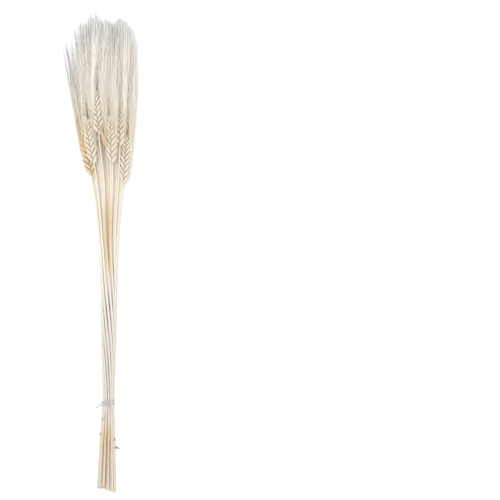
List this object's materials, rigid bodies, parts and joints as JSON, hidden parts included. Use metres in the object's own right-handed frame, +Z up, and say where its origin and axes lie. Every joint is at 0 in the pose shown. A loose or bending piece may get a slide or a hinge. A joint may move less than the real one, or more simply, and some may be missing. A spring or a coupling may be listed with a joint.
{
  "type": "bunch of wheat ears",
  "caption": "Dried bunch of bleached bearded wheat: long slim straws tied with thin string, with braided ears and a brush of fine awns, lying down",
  "frame": {"origin": "middle of the bunch's box, on the surface that it lies on", "axes": "+Y runs along the bunch from the cut ends to the ears, +Z points up from the surface, +X to the right as seen from above with the ears away from the viewer"},
  "size_m": [0.1082, 0.6802, 0.0559],
  "materials": {
    "bleached_straw": "matt, bleached",
    "cotton_string": "matt, twisted"
  },
  "bodies": {
    "root": {"wheat_stalk_01": "bleached_straw", "wheat_stalk_02": "bleached_straw", "wheat_stalk_03": "bleached_straw", "wheat_stalk_04": "bleached_straw", "wheat_stalk_05": "bleached_straw", "wheat_stalk_06": "bleached_straw", "wheat_stalk_07": "bleached_straw", "wheat_stalk_08": "bleached_straw", "wheat_stalk_09": "bleached_straw", "wheat_stalk_10": "bleached_straw", "wheat_stalk_11": "bleached_straw", "wheat_stalk_12": "bleached_straw", "wheat_stalk_13": "bleached_straw", "wheat_stalk_14": "bleached_straw", "wheat_stalk_15": "bleached_straw", "wheat_stalk_16": "bleached_straw", "wheat_stalk_17": "bleached_straw", "wheat_stalk_18": "bleached_straw", "wheat_stalk_19": "bleached_straw", "string_tie": "cotton_string"}
  },
  "joints": []
}
